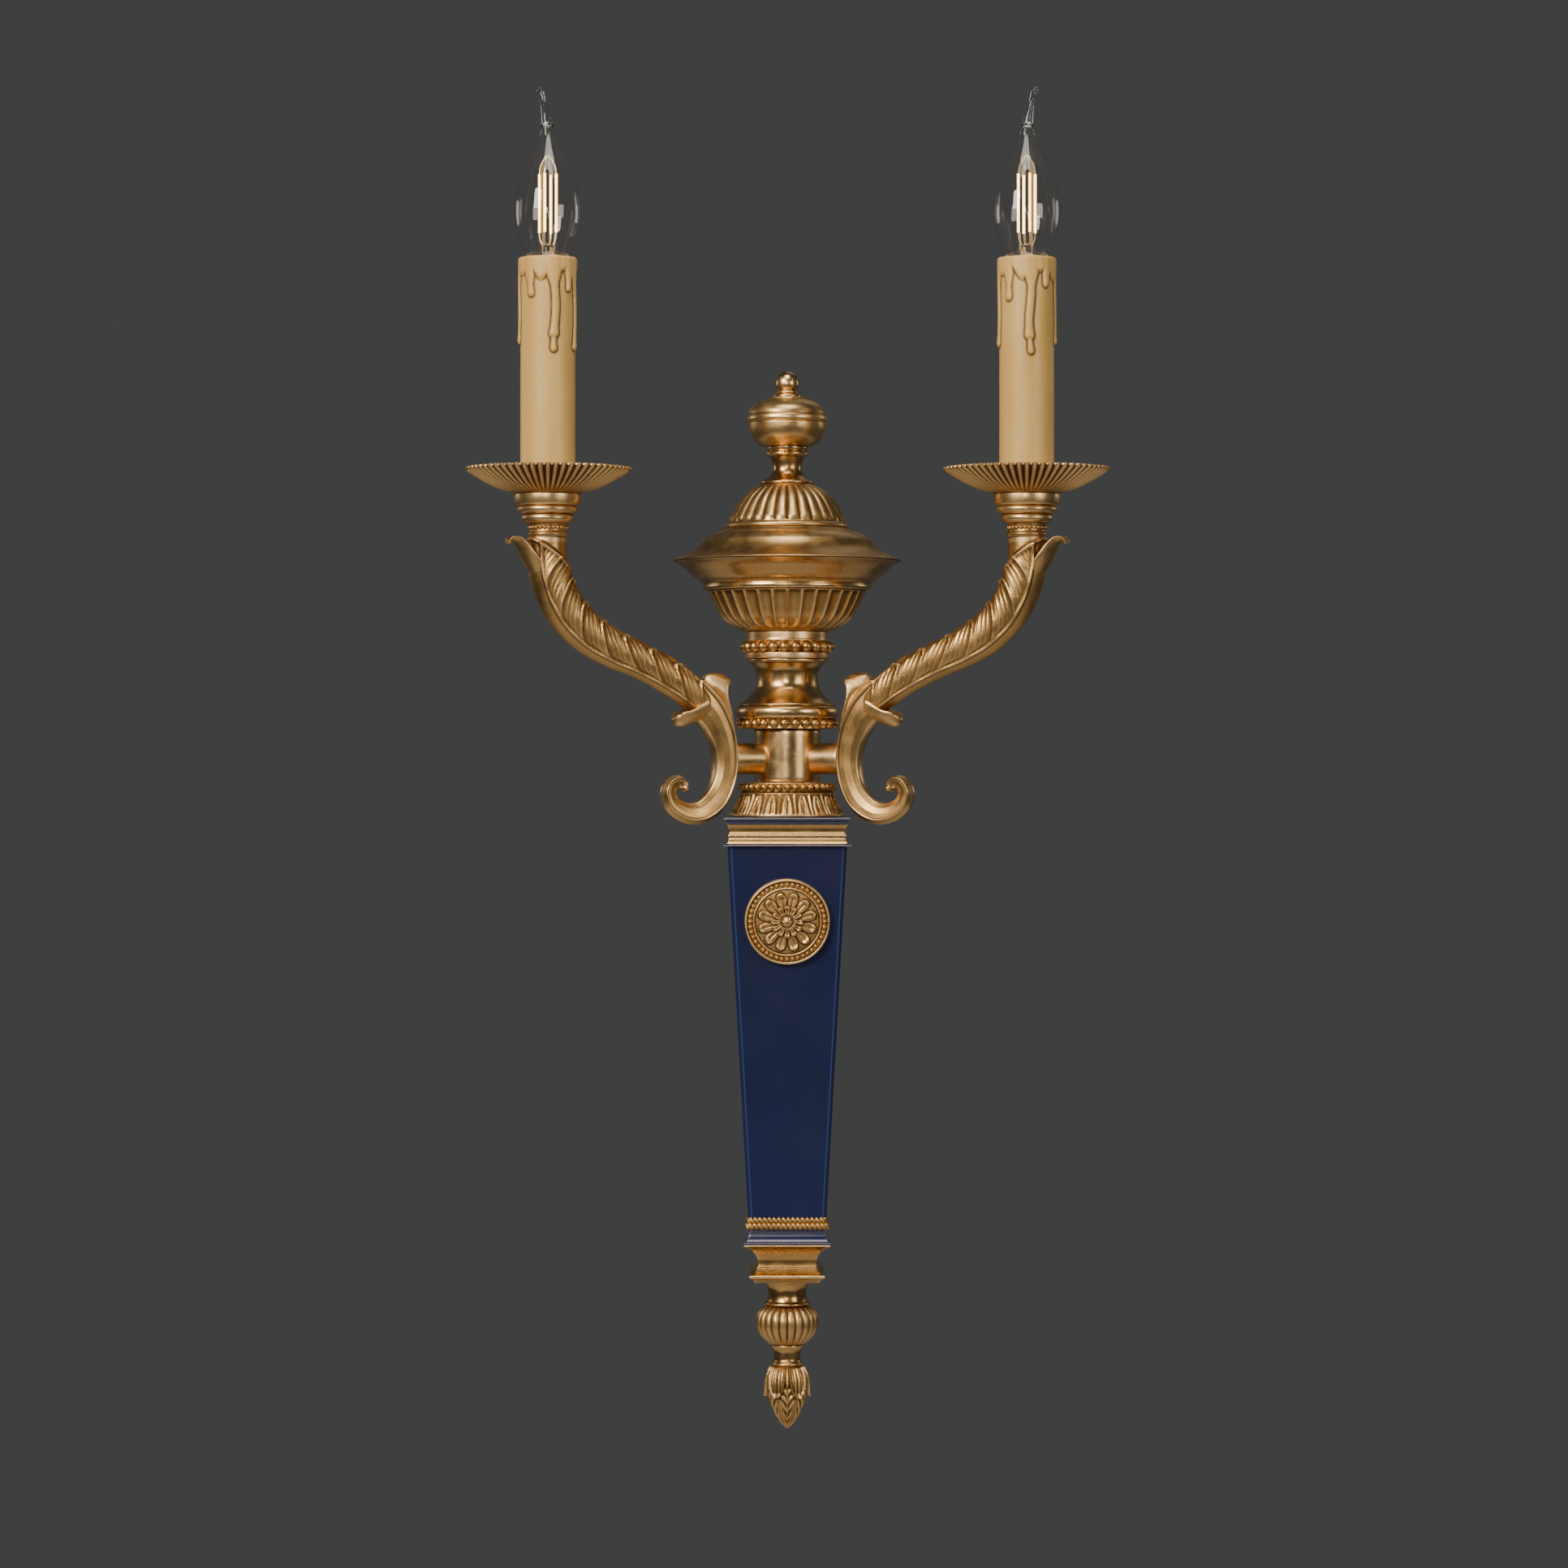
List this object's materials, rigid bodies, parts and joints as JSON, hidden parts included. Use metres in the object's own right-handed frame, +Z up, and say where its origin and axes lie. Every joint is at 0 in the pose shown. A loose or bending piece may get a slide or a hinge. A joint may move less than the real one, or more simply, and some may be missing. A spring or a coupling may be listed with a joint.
{
  "type": "wall sconce candle holder",
  "caption": "Two-arm wall sconce with an urn-topped column, a tapered enamel pilaster, leaf-covered scroll arms, fluted drip pans and candle sleeves with bent-tip candle lamps.",
  "frame": {"origin": "on the wall plane at the wall bracket's back face, on the column's centre line at the height of the arm bosses", "axes": "+Z up along the column, +Y into the wall, the sconce's front faces -Y, +X to the viewer's right"},
  "size_m": [0.3332, 0.1488, 0.7002],
  "materials": {
    "brass": "antique gold, satin castings with polished turned parts",
    "blue_enamel": "glossy dark blue enamel",
    "zinc_steel": "zinc plated",
    "candle_sleeve": "waxy beige with drips",
    "phenolic": "black moulded",
    "lamp_glass": "clear",
    "filament": "lit warm white",
    "cable": "matte"
  },
  "bodies": {
    "root": {"back_plate": "zinc_steel", "beaded_torus": "brass", "capital": "brass", "finial_bud": "brass", "finial_melon": "brass", "finial_neck": "brass", "finial_spool": "brass", "gadroon_dome": "brass", "hanging_stud_lower": "zinc_steel", "hanging_stud_upper": "zinc_steel", "hub_drum": "brass", "knob": "brass", "leaf_collar": "brass", "left_arm_boss": "brass", "left_arm_branch": "brass", "left_arm_cup": "brass", "left_arm_nut": "zinc_steel", "left_arm_scroll": "brass", "left_candle_sleeve": "candle_sleeve", "left_drip_pan": "brass", "left_lampholder": "phenolic", "left_nipple": "zinc_steel", "left_pan_nut": "zinc_steel", "left_wire": "cable", "medallion_disc": "brass", "medallion_rosette": "brass", "neck_spool": "brass", "pilaster_shell": "blue_enamel", "plinth_moulding": "blue_enamel", "right_arm_boss": "brass", "right_arm_branch": "brass", "right_arm_cup": "brass", "right_arm_nut": "zinc_steel", "right_arm_scroll": "brass", "right_candle_sleeve": "candle_sleeve", "right_drip_pan": "brass", "right_lampholder": "phenolic", "right_nipple": "zinc_steel", "right_pan_nut": "zinc_steel", "right_wire": "cable", "rope_band": "brass", "scotia_block": "brass", "terminal_block": "phenolic", "tie_rod": "zinc_steel", "top_ball": "brass", "upper_bead_ring": "brass", "urn_bowl": "brass", "urn_cove": "brass", "urn_lid": "brass", "waisted_neck": "brass", "wall_bracket": "zinc_steel"},
    "left_lamp_screw": {"left_lamp_cap": "brass"},
    "left_lamp": {"left_lamp_glass": "lamp_glass", "left_lamp_filament": "filament"},
    "right_lamp_screw": {"right_lamp_cap": "brass"},
    "right_lamp": {"right_lamp_glass": "lamp_glass", "right_lamp_filament": "filament"}
  },
  "joints": [
    {"name": "left_lamp_rise", "type": "slide", "parent": "root", "child": "left_lamp_screw", "axis": [0, 0, 1], "range_m": [0, 0.00847]},
    {"name": "left_lamp_turn", "type": "hinge", "parent": "left_lamp_screw", "child": "left_lamp", "pos_m": [-0.12344, -0.10563, 0.2571], "axis": [0, 0, 1], "range_deg": [0, 1080]},
    {"name": "right_lamp_rise", "type": "slide", "parent": "root", "child": "right_lamp_screw", "axis": [0, 0, 1], "range_m": [0, 0.00847]},
    {"name": "right_lamp_turn", "type": "hinge", "parent": "right_lamp_screw", "child": "right_lamp", "pos_m": [0.12344, -0.10563, 0.2571], "axis": [0, 0, 1], "range_deg": [0, 1080]}
  ],
  "couplings": [
    {"joint": "left_lamp_rise", "follows": "left_lamp_turn", "m_per_rad": 0.00044882},
    {"joint": "right_lamp_rise", "follows": "right_lamp_turn", "m_per_rad": 0.00044882}
  ]
}
